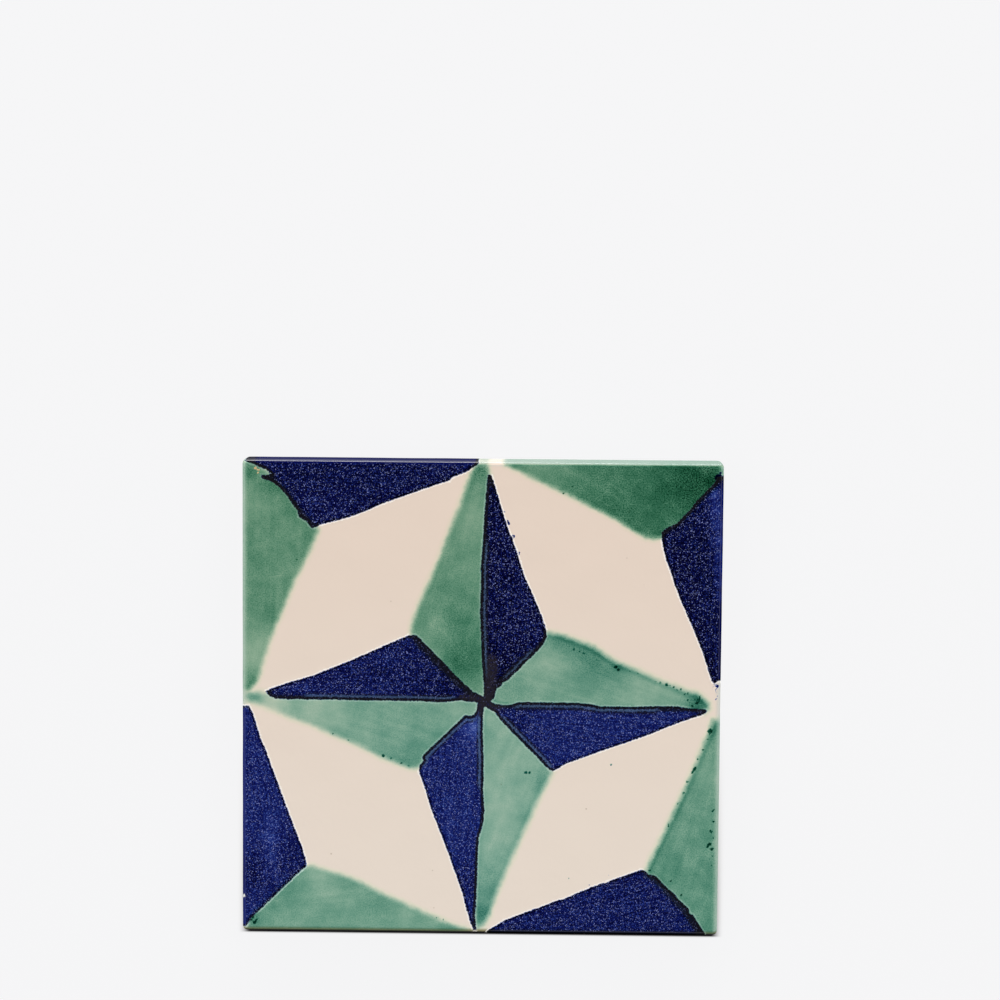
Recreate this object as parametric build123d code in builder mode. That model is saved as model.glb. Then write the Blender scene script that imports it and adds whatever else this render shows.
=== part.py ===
from build123d import *
from math import radians, tan
import os

# A square glazed wall tile of pressed and fired clay, in millimetres.
# It lies on its keyed back, with the glazed face up and +Y towards the top of its painted pattern.
# The origin is at the middle of the back.

# Sizes of the tile
face_side = 140.0
thickness = 10.0
corner_radius = 1.2

# Sizes of its edges: the glaze rounds the arris, a straight land runs below it,
# and under the land the sides draw in, so that the pressed tile leaves its die
arris_radius = 0.9
land_depth = 2.6
side_draft = 2.0
back_bevel = 0.6

# Sizes of the keyed back: rows of shallow drafted pockets between ribs, inside a plain rim
keys_per_side = 6
rim_width = 8.0
rib_width = 3.0
key_depth = 0.6
key_draft = 35.0
key_corner_radius = 2.0

# What follows from them
drafted_depth = thickness - land_depth
draft_inset = drafted_depth * tan(radians(side_draft))
back_side = face_side - 2 * (draft_inset + back_bevel)
keyed_side = back_side - 2 * rim_width
key_side = (keyed_side - (keys_per_side - 1) * rib_width) / keys_per_side
key_pitch = key_side + rib_width

with BuildPart() as tile:
    # Body: the land under the face
    with BuildSketch(Plane.XY.offset(thickness)) as face_outline:
        RectangleRounded(face_side, face_side, corner_radius)
    extrude(amount=-land_depth)

    # Body: the drafted sides, down to the back
    with BuildSketch(Plane.XY.offset(drafted_depth)) as land_outline:
        RectangleRounded(face_side, face_side, corner_radius)
    extrude(amount=-drafted_depth, taper=side_draft)

    # Edges: the glaze rounds the arris, and the back's edge is bevelled
    fillet(tile.faces().sort_by(Axis.Z)[-1].edges(), radius=arris_radius)
    chamfer(tile.faces().sort_by(Axis.Z)[0].edges(), length=back_bevel)

    # Back: the drafted pockets that mortar keys into
    with BuildSketch(Plane.XY) as key_outlines:
        with GridLocations(key_pitch, key_pitch, keys_per_side, keys_per_side):
            RectangleRounded(key_side, key_side, key_corner_radius)
    extrude(amount=key_depth, taper=key_draft, mode=Mode.SUBTRACT)

tile.part.label = "tile"

os.makedirs("parts", exist_ok=True)
export_step(tile.part, "parts/tile.step")
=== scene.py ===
import logging
import math
from dataclasses import dataclass, fields
from enum import Enum
from typing import Any, Iterable

import bmesh
import bpy
import numpy as np
from mathutils import Matrix, Vector

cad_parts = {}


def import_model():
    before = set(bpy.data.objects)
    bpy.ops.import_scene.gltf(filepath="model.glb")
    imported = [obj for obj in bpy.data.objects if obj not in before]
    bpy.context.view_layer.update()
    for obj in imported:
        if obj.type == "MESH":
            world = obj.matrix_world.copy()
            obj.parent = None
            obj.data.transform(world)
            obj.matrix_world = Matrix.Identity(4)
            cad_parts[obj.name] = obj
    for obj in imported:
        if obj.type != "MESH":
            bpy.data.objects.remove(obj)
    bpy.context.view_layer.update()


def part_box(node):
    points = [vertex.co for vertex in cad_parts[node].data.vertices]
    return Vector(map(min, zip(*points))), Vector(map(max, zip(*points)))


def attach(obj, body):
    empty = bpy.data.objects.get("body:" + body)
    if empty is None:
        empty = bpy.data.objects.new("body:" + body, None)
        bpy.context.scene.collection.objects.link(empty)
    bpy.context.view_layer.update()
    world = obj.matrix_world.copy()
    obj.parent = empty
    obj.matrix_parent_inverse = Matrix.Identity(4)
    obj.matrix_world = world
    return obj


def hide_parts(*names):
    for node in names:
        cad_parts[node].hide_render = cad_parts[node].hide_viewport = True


log = logging.getLogger("azulejo_tile")

MM = 0.001
TILE_NODE = "tile"
GLAZE_SLOT = "glazed_clay"

# The name under which the closing export looks for a piece's own map
MAP_NAME = "OFBake"

# The Mix node's sockets for colours, whose names are also those of its sockets for numbers
MIX_SHARE = 0
MIX_BASE = 6
MIX_OVER = 7
MIX_RESULT = 2

Colour = tuple[float, float, float]
Place = tuple[float, float]
Span = tuple[float, float]


def linear(red: int, green: int, blue: int) -> Colour:
    """Turns a colour as the eye reads it on a screen, 0 to 255, into the light that a shader works in.

    Args:
        red: Red, 0 to 255.
        green: Green, 0 to 255.
        blue: Blue, 0 to 255.

    Returns:
        The same colour in linear light, 0 to 1.
    """

    def channel(level: int) -> float:
        """One channel of the colour in linear light."""
        share = level / 255
        return share / 12.92 if share <= 0.04045 else ((share + 0.055) / 1.055) ** 2.4

    return channel(red), channel(green), channel(blue)


class Pigment(Enum):
    """The two colours that the painter's brush carries."""

    COBALT = "blue"
    COPPER = "green"


@dataclass(frozen=True)
class Pool:
    """A spot where a wash gathered or ran thin.

    Places and reach are in mm on the face, from its middle. Load is added at the spot's middle.
    """

    x: float
    y: float
    reach: float
    load: float


@dataclass(frozen=True)
class Stroke:
    """One painted field of the star, drawn as a closed outline in mm from the middle of the face.

    The load says how much pigment lies there, and the heading how the brush ran, in degrees from +X.
    The seam says how dark a blue field's edge is where it lies on green. Along the split lines that
    edge opens into two dark lines with paler paint between them, by as much as the gap says.
    The warmth of a green wash runs from 0, bluish, to 1, leaf green, and the rim says how much more
    pigment gathered along its edge.
    """

    pigment: Pigment
    outline: tuple[Place, ...]
    load: float
    heading: float
    pools: tuple[Pool, ...] = ()
    seam: float = 1.0
    gap: float = 0.0
    splits: tuple[tuple[Place, ...], ...] = ()
    warmth: float = 0.5
    rim: float = 0.0

    def depth(self, points: np.ndarray) -> np.ndarray:
        """How far points on the face lie inside the outline, in mm, below 0 outside it."""
        return outline_depth(points, self.outline)

    def wash(self, points: np.ndarray) -> np.ndarray:
        """Works out how much pigment the brush left at points.

        Args:
            points: Places on the face in mm, one to a row.

        Returns:
            The load at each place.
        """
        load = np.full(len(points), self.load)
        for pool in self.pools:
            gap = np.hypot(points[:, 0] - pool.x, points[:, 1] - pool.y)
            load += pool.load * np.exp(-((gap / pool.reach) ** 2))
        return load

    def opened(self, points: np.ndarray) -> np.ndarray:
        """Says how far the field's edge opens into two lines at points.

        Args:
            points: Places on the face in mm, one to a row.

        Returns:
            The gap at each place, 0 to 1.
        """
        gap = np.zeros(len(points))
        for line in self.splits:
            near = line_distance(points, line)
            gap = np.maximum(gap, self.gap * np.clip((SPLIT_REACH - near) / SPLIT_FADE, 0, 1))
        return gap

    def brushed(self, points: np.ndarray) -> np.ndarray:
        """Gives points along and across the brush's run, in mm.

        Args:
            points: Places on the face in mm, one to a row.

        Returns:
            Two columns, along and across.
        """
        turn = math.radians(self.heading)
        along = points @ np.array([math.cos(turn), math.sin(turn)])
        across = points @ np.array([-math.sin(turn), math.cos(turn)])
        return np.stack([along, across], axis=1)


def line_distance(points: np.ndarray, line: Iterable[Place]) -> np.ndarray:
    """Measures how far points lie from an open line.

    Args:
        points: Places in mm, one to a row.
        line: The line's corners in order, in mm.

    Returns:
        The distance to the line in mm.
    """
    corners = np.array(list(line))
    nearest = np.full(len(points), np.inf)
    for start, end in zip(corners, corners[1:]):
        side = end - start
        share = np.clip((points - start) @ side / (side @ side), 0, 1)
        nearest = np.minimum(nearest, np.linalg.norm(points - start - share[:, None] * side, axis=1))
    return nearest


def outline_depth(points: np.ndarray, outline: Iterable[Place]) -> np.ndarray:
    """Measures how far points lie inside a closed outline.

    Args:
        points: Places in mm, one to a row.
        outline: The outline's corners in order, in mm.

    Returns:
        The distance to the outline in mm, above 0 inside it and below 0 outside.
    """
    corners = np.array(list(outline))
    nearest = line_distance(points, [*corners, corners[0]])
    inside = np.zeros(len(points), bool)
    for start, end in zip(corners, np.roll(corners, -1, axis=0)):
        side = end - start
        if side[1]:
            spans = (start[1] > points[:, 1]) != (end[1] > points[:, 1])
            crossing = start[0] + (points[:, 1] - start[1]) * side[0] / side[1]
            inside ^= spans & (points[:, 0] < crossing)
    return np.where(inside, nearest, -nearest)


@dataclass(frozen=True)
class Drop:
    """A round spot of pigment, a speck or a fallen drop, in mm on the face."""

    x: float
    y: float
    radius: float


@dataclass(frozen=True)
class Chip:
    """A place where the glaze is off and the clay shows. Sizes are in mm, and z is up from the back."""

    x: float
    y: float
    z: float
    radius: float
    depth: float


# The height of the face above the back, in mm
FACE_TOP = 10.0

# How far the gap reaches on each side of a split line, and over how much of that it fades, in mm
SPLIT_REACH = 3.2
SPLIT_FADE = 1.4

STAR: tuple[Stroke, ...] = (
    # Top left: blue, along the top edge
    Stroke(
        Pigment.COBALT,
        (
            (-69.6, 74), (-69.5, 69.9), (-67.4, 69.0), (-65.4, 68.2), (-63.4, 67.4), (-61.6, 65.9),
            (-64.9, 65.7), (-64.7, 64.8), (-61.5, 63.7), (-59.2, 61.9), (-57.0, 59.2), (-54.2, 55.2),
            (-53.9, 53.6), (-52.0, 52.5), (-50.0, 50.3), (-48.6, 50.6), (-48.2, 51.2), (-40, 53.4),
            (-35, 55.2), (-30, 57.5), (-20, 61.2), (-14.5, 63.2), (-9.7, 64.7), (-9.3, 65.5), (-5.2, 67.2),
            (-1.5, 69.6), (-2.8, 74),
        ),
        load=6.6,
        heading=2,
        pools=(Pool(-47, 56, 7, -0.4),),
        seam=0.95,
    ),
    # Upper arm, right half: blue
    Stroke(
        Pigment.COBALT,
        (
            (1.3, 66.5), (2.2, 66.3), (2.8, 64.5), (5, 57.4), (7.2, 50.6), (8.5, 47.7), (10.1, 43),
            (12.2, 36.6), (15, 30.6), (17.4, 24.9), (18.7, 21.1), (18.9, 19.0), (18.2, 17.0), (16.4, 14.8),
            (12.1, 10.4), (10.0, 8.3), (7.6, 5.8), (6.3, 5.2), (5.6, 4.0), (4.4, 3.4), (3.9, 1.7),
            (3.5, 0.2), (0.8, -0.4), (0.8, 2.7), (0.4, 7.6), (0.0, 12), (-0.3, 20), (-0.6, 26), (-0.4, 33),
            (-0.5, 40), (0.1, 48), (0.4, 55), (0.8, 61),
        ),
        load=7.0,
        heading=88,
        pools=(Pool(3, 7, 6, 1.0), Pool(10, 24, 8, -0.2)),
        gap=0.8,
        splits=(((0.4, 9), (0.0, 20), (0.2, 30), (0.2, 44)), ((14, 12.6), (9.0, 7.4))),
    ),
    # Right edge, upper: blue
    Stroke(
        Pigment.COBALT,
        (
            (52.0, 49.8), (53.3, 51.0), (56.5, 52.6), (60, 56.3), (62.6, 59.8), (65, 62.2), (67.1, 64.4),
            (68.2, 66.4), (74, 67.0), (74, 6.0), (69.5, 6.2), (68.4, 5.4), (67.5, 6.9), (65, 14.4),
            (62.7, 19.9), (60, 25.9), (57.4, 31.6), (55, 38.4), (53.2, 43.2), (52.3, 47.3),
        ),
        load=6.9,
        heading=88,
        pools=(
            Pool(67.4, 61, 2.2, -3.0), Pool(67.9, 56.5, 2.2, -2.6), Pool(68.5, 52, 2.0, -2.4),
            Pool(68.8, 47.5, 2.0, -2.4), Pool(69.0, 43, 1.8, -2.2), Pool(69.2, 39, 1.8, -2.0),
            Pool(69.4, 35, 1.6, -2.0), Pool(69.5, 31, 1.6, -1.6), Pool(63, 52, 5, -0.4),
            Pool(66, 12, 6, 0.2),
        ),
    ),
    # Left arm, upper half: blue
    Stroke(
        Pigment.COBALT,
        (
            (-63.9, 1.9), (-60, 3.6), (-55, 5.1), (-50, 6.7), (-40, 10.7), (-30, 15.2), (-21.5, 18.9),
            (-20.3, 19.1), (-19.0, 18.7), (-15.2, 14.8), (-11.6, 11.3), (-8.0, 7.4), (-5, 4.6), (-2.5, 2.3),
            (0.8, 1.0), (0.9, -1.0), (-1.0, -0.7), (-3.7, -0.6), (-6.2, -0.2), (-11, -0.8), (-20, -0.5),
            (-30, -0.5), (-45, -0.3), (-60.8, -0.2), (-62.3, 0.5),
        ),
        load=6.1,
        heading=2,
        pools=(Pool(-52, 2, 9, -0.5), Pool(-30, 1.8, 5, -0.4), Pool(-12, 4, 7, 0.8)),
        gap=0.75,
        splits=(((-50, -0.4), (-22, -0.5), (-10, -0.8)),),
    ),
    # Left edge, lower: blue
    Stroke(
        Pigment.COBALT,
        (
            (-74, -3), (-69.2, -2.3), (-68.7, -2.1), (-67.5, -4.8), (-65.3, -12), (-63.8, -15.4),
            (-60, -25.9), (-55, -39.3), (-53.4, -43.2), (-51.6, -49.2), (-51.8, -50.2), (-55, -53.0),
            (-60, -57.9), (-65, -62.8), (-68.2, -65.9), (-69.6, -68.2), (-74, -69),
        ),
        load=5.1,
        heading=97,
        pools=(
            Pool(-54, -47, 7, 0.9), Pool(-67, -52, 6, 1.1), Pool(-62.4, -52, 2.2, -0.9),
            Pool(-62.4, -47, 2.4, -1.0), Pool(-62.4, -42, 2.4, -0.9), Pool(-62.4, -37, 2.2, -0.7),
        ),
        seam=0.12,
    ),
    # Lower arm, left half: blue
    Stroke(
        Pigment.COBALT,
        (
            (0.8, -0.6), (-1.0, -0.6), (-1.5, -3.3), (-2.2, -4.6), (-3.4, -5.0), (-4.6, -4.6), (-7.0, -6.8),
            (-10.4, -10.2), (-15.8, -15.3), (-17.4, -17.2), (-16.9, -18.2), (-18.3, -20.2), (-18.3, -21.5),
            (-16.4, -26.5), (-14.6, -32.6), (-10.1, -44), (-7, -52.4), (-5, -58.2), (-3.1, -65.4),
            (-1.7, -69.0), (-0.9, -69.0), (-1.3, -65), (-0.9, -57), (-0.6, -44), (-0.5, -41.4),
            (0.7, -37.5), (1.2, -33), (0.7, -27), (0.8, -18), (0.4, -9), (0.5, -4.6),
        ),
        load=5.0,
        heading=86,
        pools=(Pool(-12, -26, 7, 0.2), Pool(-1.8, -8, 3.6, -1.9), Pool(-4, -54, 7, 0.7)),
        gap=1.0,
        splits=(((-3.6, -5.2), (-10.4, -10.2), (-17.0, -17.0)), ((0.6, -7), (0.8, -24))),
    ),
    # Right arm, lower half: blue
    Stroke(
        Pigment.COBALT,
        (
            (0.6, 0.6), (3.4, -0.8), (4.2, -1.3), (6.6, -1.6), (9.1, -1.4), (11.0, -0.7), (14, -0.7),
            (20, -0.7), (28, -0.7), (32, -1.1), (35, -1.7), (45, -1.8), (52, -1.5), (58, -1.6),
            (60.5, -2.0), (66, -2.4), (66.7, -2.8), (65.4, -3.9), (60, -5.6), (55, -7.6), (50, -9.8),
            (40, -13.3), (30, -17.0), (25, -18.9), (21.3, -21.1), (20.2, -20.6), (17, -17.3), (12.4, -12.8),
            (8.2, -8.5), (5.2, -5.4), (4.2, -3.8), (2.2, -2.6), (1.0, -2.0),
        ),
        load=5.15,
        heading=-4,
        pools=(Pool(52, -4, 8, 0.2), Pool(10, -5, 5, 0.8)),
        gap=1.0,
        splits=(((12, -0.9), (32, -1.1), (50, -1.8)), ((7.4, -7.6), (13.5, -13.6), (20.5, -20.4))),
    ),
    # Bottom edge, right: blue
    Stroke(
        Pigment.COBALT,
        (
            (46.7, -51.0), (48.0, -50.5), (49.4, -51.0), (50.2, -51.8), (52.1, -52.3), (53.2, -53.3),
            (55, -55.2), (57.6, -57.4), (60, -60), (62.2, -62.0), (62.6, -63.4), (64, -64.3), (65.8, -67.4),
            (67.2, -69.3), (67.6, -74), (1.2, -74), (2.4, -69.4), (4, -68.3), (7.6, -66.0), (10, -65),
            (20, -61.3), (22.4, -60.2), (25, -59.5), (30, -57.2), (35, -55.2), (40, -53.5),
        ),
        load=5.8,
        heading=14,
        pools=(Pool(30, -69, 6, -0.2), Pool(46, -54, 5, 0.2)),
        seam=0.95,
        gap=0.2,
        splits=(((51, -52.5), (62, -61.5)),),
    ),
    # Left edge, upper: green
    Stroke(
        Pigment.COPPER,
        (
            (-75, 75), (-67.5, 75), (-66.6, 69.6), (-63.6, 66.9), (-60.8, 64.8), (-58, 62.2), (-55.4, 58.8),
            (-52.4, 54.8), (-49.2, 51.6), (-48.4, 49.8), (-50.1, 45.4), (-52.6, 40), (-55.3, 35),
            (-57.3, 30), (-59.3, 25), (-60.9, 21.5), (-62.6, 17), (-64.3, 12), (-65.4, 8), (-66.4, 5),
            (-68.6, 2.2), (-75, 2),
        ),
        load=1.9,
        heading=88,
        pools=(
            Pool(-62, 62.6, 4, 0.9), Pool(-57, 57.5, 3.5, 0.3), Pool(-67, 14, 7, -0.75),
            Pool(-67, 58, 6, -0.45), Pool(-64, 28, 4, 0.2), Pool(-68.4, 66.4, 1.6, 1.0),
            Pool(-67.4, 5, 3, 0.5),
        ),
        warmth=0.95,
    ),
    # Upper arm, left half: green
    Stroke(
        Pigment.COPPER,
        (
            (-1.8, 69.4), (0.6, 69.5), (1.5, 67.0), (1.8, 61), (1.4, 54), (1.1, 46), (0.7, 38), (0.7, 26),
            (1.0, 14), (1.2, 1.0), (-0.6, 1.0), (-3.2, 0.6), (-7.1, 3.7), (-13.2, 9.6), (-19.0, 15.6),
            (-20.6, 18.2), (-20.8, 20.4), (-20.1, 23.4), (-18.5, 27.6), (-16.5, 32.5), (-14.5, 37),
            (-12.5, 42), (-10.4, 48), (-9, 51.6), (-6.8, 57.3), (-5, 62.5), (-3.6, 66.5),
        ),
        load=1.85,
        heading=78,
        pools=(
            Pool(-6, 11, 5, 0.9), Pool(-1, 68, 2.6, 1.3), Pool(-4, 55, 6, -0.6), Pool(-5, 60, 4, 0.2),
            Pool(-7, 24, 7, 0.4), Pool(-3, 12, 7, 0.45), Pool(-2, 47, 5, -0.25), Pool(-18, 21, 3.5, -0.2),
        ),
        warmth=0.85,
    ),
    # Top edge, right: green
    Stroke(
        Pigment.COPPER,
        (
            (6.4, 75), (6.6, 69.4), (10, 67.9), (15, 65.4), (20, 63), (25, 60.7), (30, 58.2), (35, 55.8),
            (40, 53.1), (43, 51.1), (45.6, 49.5), (48, 48.5), (50, 48.2), (52.2, 48.6), (54.6, 50.4),
            (58, 52.8), (62, 57.8), (66.4, 62.2), (69.2, 65.0), (75, 66.4), (75, 75),
        ),
        load=2.9,
        heading=-30,
        pools=(
            Pool(15, 68, 9, -1.05), Pool(26, 65, 8, -0.5), Pool(62, 64, 8, 1.7), Pool(66.5, 66, 2.5, 0.6),
            Pool(40, 55, 5, 0.2),
        ),
        warmth=0.95,
    ),
    # Right arm, upper half: green
    Stroke(
        Pigment.COPPER,
        (
            (19.4, 20.1), (22, 19.6), (25, 18.8), (30, 17), (33, 15.8), (37, 13), (40, 11.3), (45, 9.5),
            (50, 7.2), (53, 5.8), (57, 4.5), (60, 3.2), (63.5, 2.3), (65.6, 0.8), (67.0, -0.8),
            (67.1, -2.0), (65.6, -3.4), (58, -3.1), (45, -3.1), (35, -3.0), (30, -2.2), (20, -2.2),
            (10, -2.6), (3, -2.2), (2.2, 0.8), (3.0, 4.0), (5.2, 6.4), (8.8, 9.6), (11.4, 12.0),
            (15.6, 15.8), (17.4, 17.6), (18.2, 19.6),
        ),
        load=1.5,
        heading=-20,
        pools=(
            Pool(24, 17.5, 4.5, 0.6), Pool(32, 13, 5.5, 0.85), Pool(37.5, 8, 4.5, 0.4),
            Pool(50, 3, 9, -0.35), Pool(63.5, -0.4, 2.6, 1.5), Pool(40, 10.2, 1.6, 1.0),
            Pool(10, 3, 5, 0.25), Pool(16, 7, 6, -0.15), Pool(21.5, 12, 4, -0.5),
        ),
        warmth=0.3,
        rim=0.6,
    ),
    # Left arm, lower half: green
    Stroke(
        Pigment.COPPER,
        (
            (-70.5, 1.4), (-66.5, 1.6), (-62, 1.2), (-45, 0.6), (-30, 0.4), (-15, 0.4), (-3.5, 0.3),
            (-0.6, -0.2), (-0.6, -3.4), (-2.2, -5.4), (-5.4, -6.2), (-12, -12.9), (-16.2, -17.2),
            (-17.4, -19.6), (-19.0, -20.5), (-21, -20.3), (-25, -18.9), (-30, -17), (-35, -14.3),
            (-40, -12.1), (-45, -10.1), (-50, -7.7), (-55, -6.0), (-58, -4.8), (-62, -3.1), (-66, -1.6),
            (-70.5, -0.6),
        ),
        load=1.44,
        heading=-18,
        pools=(
            Pool(-48, -4, 9, -0.45), Pool(-62, -0.5, 5, -0.85), Pool(-18, -12, 7, 0.25),
            Pool(-22, -18.5, 4, 0.4), Pool(-7, -3, 4, -0.2), Pool(-67, 0.2, 2, 0.6), Pool(-30, -8, 6, 0.1),
        ),
        warmth=0.2,
    ),
    # Bottom edge, left: green
    Stroke(
        Pigment.COPPER,
        (
            (-50.4, -50.2), (-53.2, -50.8), (-57.2, -54.0), (-62.2, -58.9), (-67.4, -64.0), (-69.3, -66.4),
            (-70.6, -75), (-2.4, -75), (-2.6, -69.6), (-4, -68.8), (-7, -67.9), (-10, -66.8), (-15, -64.6),
            (-20, -62.4), (-25, -60.1), (-30, -58), (-35, -55.2), (-40, -53.2), (-44, -52.1), (-47, -51.2),
        ),
        load=1.5,
        heading=6,
        pools=(
            Pool(-62, -62, 5, 0.4), Pool(-67.5, -66, 2.2, 1.4), Pool(-31, -62, 4, 0.35),
            Pool(-57, -57, 3, 0.4), Pool(-48.5, -53, 3.2, -0.4), Pool(-8, -67.5, 3.5, 0.5),
            Pool(-45, -58, 7, -0.05), Pool(-22, -65, 5, -0.2),
        ),
        warmth=0.4,
    ),
    # Lower arm, right half: green
    Stroke(
        Pigment.COPPER,
        (
            (0.2, -1.6), (1.6, -1.9), (5.6, -4.2), (11, -9.8), (16.4, -15.2), (19.4, -18.8), (21.0, -21.6),
            (19.6, -24.5), (17.8, -28), (16, -32), (14.3, -36), (12.5, -40), (10.3, -45), (8.3, -49.5),
            (6.3, -54.5), (4.5, -59), (2.8, -64.4), (1.3, -67.3), (-0.4, -68.4), (-1.2, -67), (-1.6, -56),
            (-1.2, -43), (-0.3, -38.5), (0.2, -33), (-0.2, -26), (-0.3, -12),
        ),
        load=1.2,
        heading=70,
        pools=(
            Pool(18.4, -24, 3.4, 0.7), Pool(14.5, -35, 3, 0.45), Pool(7, -33, 5, -0.3),
            Pool(2, -55, 6, 0.6), Pool(1.2, -64.5, 3.6, 1.3), Pool(9.5, -44, 3, 0.2), Pool(3, -9, 4, 0.2),
        ),
        warmth=0.1,
        rim=0.2,
    ),
    # Right edge, lower: green
    Stroke(
        Pigment.COPPER,
        (
            (68.3, -5.6), (67.5, -9), (66.3, -11.5), (65, -15), (63.3, -19.5), (61, -25), (59, -29.5),
            (57, -34), (55, -38.5), (53, -43), (51, -47), (49.8, -50), (49.0, -51.9), (51.2, -53.7),
            (54, -56.4), (58, -60.6), (61.6, -64.9), (64.8, -70), (65.2, -75), (75, -75), (75, -5),
        ),
        load=1.95,
        heading=72,
        pools=(
            Pool(67, -22, 6, -0.6), Pool(68, -8, 2.5, 0.5), Pool(60, -62, 4, -0.25), Pool(63, -50, 7, 0.1),
            Pool(69, -36, 5, -0.3),
        ),
        warmth=0.5,
        rim=0.5,
    ),
)

# The crossing of the arms, where the painter's lines ran together, and its smear up the blue arm
CROSSING: tuple[Place, ...] = (
    (-6.6, 2.0), (-2.7, 1.5), (0.4, 0.8), (0.8, 3.0), (1.0, 8.6), (1.5, 13.0), (2.8, 14.0), (5.0, 11.6),
    (4.7, 8.0), (4.2, 5.0), (3.8, 3.0), (3.3, 0.4), (3.4, -0.9), (6.2, -1.8), (6.8, -3.2), (4.0, -3.4),
    (1.8, -2.2), (0.9, -2.4), (0.7, -4.8), (-1.3, -5.2), (-1.2, -3.0), (-1.0, -0.8), (-3.7, -0.2),
    (-7.0, 0.4),
)

# Blue spots beside the upper arm, the brush's last traces at the right edge and in the top left
# corner, and a few specks near the bottom
BLUE_DROPS: tuple[Drop, ...] = (
    Drop(6.1, 55.6, 0.35), Drop(6.9, 52.6, 0.6), Drop(7.4, 52.1, 0.45), Drop(8.8, 48.3, 0.55),
    Drop(8.2, 47.8, 0.5), Drop(10.5, 43.5, 0.4), Drop(10.4, 43.0, 0.35), Drop(68.1, 6.3, 0.7),
    Drop(69.4, 4.6, 0.5), Drop(68.9, 3.4, 0.3), Drop(69.2, 2.4, 0.25), Drop(68.4, 66.0, 1.2),
    Drop(68.9, 67.6, 0.35), Drop(-5.8, -55.2, 0.4), Drop(38.4, -52.3, 0.2), Drop(32.6, -55.1, 0.2),
    Drop(68.6, 5.2, 0.4), Drop(67.9, 3.9, 0.25), Drop(69.6, 1.4, 0.25), Drop(68.9, 0.6, 0.2),
    Drop(38.5, -19.2, 0.26), Drop(-67.6, 69.9, 0.7), Drop(-66.0, 69.7, 0.8), Drop(-64.4, 69.4, 0.8),
)

# Dark green dots along the edges of the washes
GREEN_DOTS: tuple[Drop, ...] = (
    Drop(39.4, 10, 0.49), Drop(40.2, 9.2, 0.45), Drop(38.2, 10.2, 0.26), Drop(27, 15.2, 0.34),
    Drop(28.6, 14.6, 0.3), Drop(30, 14, 0.34), Drop(25.5, 15.9, 0.22), Drop(43.5, 9, 0.22),
    Drop(46, 8.2, 0.22), Drop(48.6, 7, 0.22), Drop(51.2, 5.8, 0.22), Drop(54.3, 5, 0.38),
    Drop(55.6, 4.5, 0.26), Drop(57.4, 3.5, 0.22), Drop(59.8, 2.1, 0.22), Drop(63.3, -19.9, 0.47),
    Drop(62.7, -20.9, 0.32), Drop(64.1, -17.2, 0.32), Drop(65.6, -14.5, 0.32), Drop(61.2, -24, 0.32),
    Drop(60, -27.4, 0.29), Drop(58.5, -30.6, 0.25), Drop(55.9, -37.4, 0.25), Drop(67.8, -8.8, 0.5),
    Drop(66.9, -11.2, 0.25), Drop(68.2, -38.6, 0.32), Drop(67.9, -42.8, 0.43), Drop(67.5, -43.4, 0.32),
    Drop(68.7, -32.8, 0.25), Drop(68.8, -35.6, 0.22), Drop(38.5, -19.1, 0.28), Drop(-28.9, -16.9, 0.45),
    Drop(-26.6, -17.7, 0.35), Drop(-23.6, -19.1, 0.3), Drop(-21.4, -19.9, 0.3), Drop(-39.4, -12.3, 0.25),
    Drop(-43.8, -10.5, 0.25), Drop(-67.2, -67.2, 0.5), Drop(-68.2, -66.4, 0.33), Drop(-66.4, -66.2, 0.28),
    Drop(-54.4, 41, 0.3), Drop(-54, 39.9, 0.22), Drop(23.2, 61.2, 0.3), Drop(25.8, 63.2, 0.25),
    Drop(26.6, -53.3, 0.2), Drop(-12.6, -65.4, 0.3), Drop(-10.8, -66, 0.25), Drop(55.7, -36.6, 0.22),
    Drop(53, -43.4, 0.18), Drop(67.5, -8.4, 0.43), Drop(67.1, -8.8, 0.36), Drop(67.4, -9.8, 0.25),
    Drop(63.2, -20.2, 0.43), Drop(62.5, -21.2, 0.29), Drop(60.2, -27.3, 0.29), Drop(61.3, -24, 0.29),
    Drop(50.5, -50.5, 0.32), Drop(56.9, -53.8, 0.3), Drop(60, -58, 0.35), Drop(68.6, -38.9, 0.36),
    Drop(68.3, -42.6, 0.43), Drop(68.9, -44.1, 0.5), Drop(69.2, -32.4, 0.25), Drop(69.2, -35.9, 0.32),
    Drop(69.1, -40.8, 0.29), Drop(69.1, -46.2, 0.29), Drop(69, -48.9, 0.25), Drop(52.5, 5.5, 0.3),
    Drop(54.6, 4.8, 0.34), Drop(56.6, 4.2, 0.26), Drop(58.7, 3.5, 0.34), Drop(60.7, 2.4, 0.3),
    Drop(60.8, 0.4, 0.3), Drop(62.1, -1.3, 0.38), Drop(63.5, -0.4, 0.45), Drop(64.3, 1.4, 0.34),
    Drop(64.1, 0.4, 0.34), Drop(62.9, 0.6, 0.22), Drop(61.4, -0.6, 0.22), Drop(13.3, -21.6, 0.42),
    Drop(14.4, -21.6, 0.42), Drop(-67.6, -65.6, 0.39), Drop(-66.7, -66.8, 0.28),
)

# Corners and nicks where the clay shows
CHIPS: tuple[Chip, ...] = (
    Chip(-66.2, 67.5, FACE_TOP, 0.45, 0.06), Chip(-65.3, 67.0, FACE_TOP, 0.4, 0.05),
    Chip(-65.6, 66.1, FACE_TOP, 0.25, 0.05), Chip(-69.9, -69.8, FACE_TOP, 0.6, 0.2),
    Chip(69.9, -69.6, FACE_TOP, 0.6, 0.15), Chip(-69.9, -59.6, FACE_TOP - 0.1, 0.55, 0.2),
)

# The value for places that lie far from any chip, in mm
CHIP_FAR = -5.0

# How the glaze's lower edge waves along the sides: heights in mm, radians to a mm and starts
GLAZE_WAVES: tuple[tuple[float, float, float], ...] = ((0.5, 0.31, 1.0), (0.35, 0.83, 2.2), (0.2, 1.9, 0.0))

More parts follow.
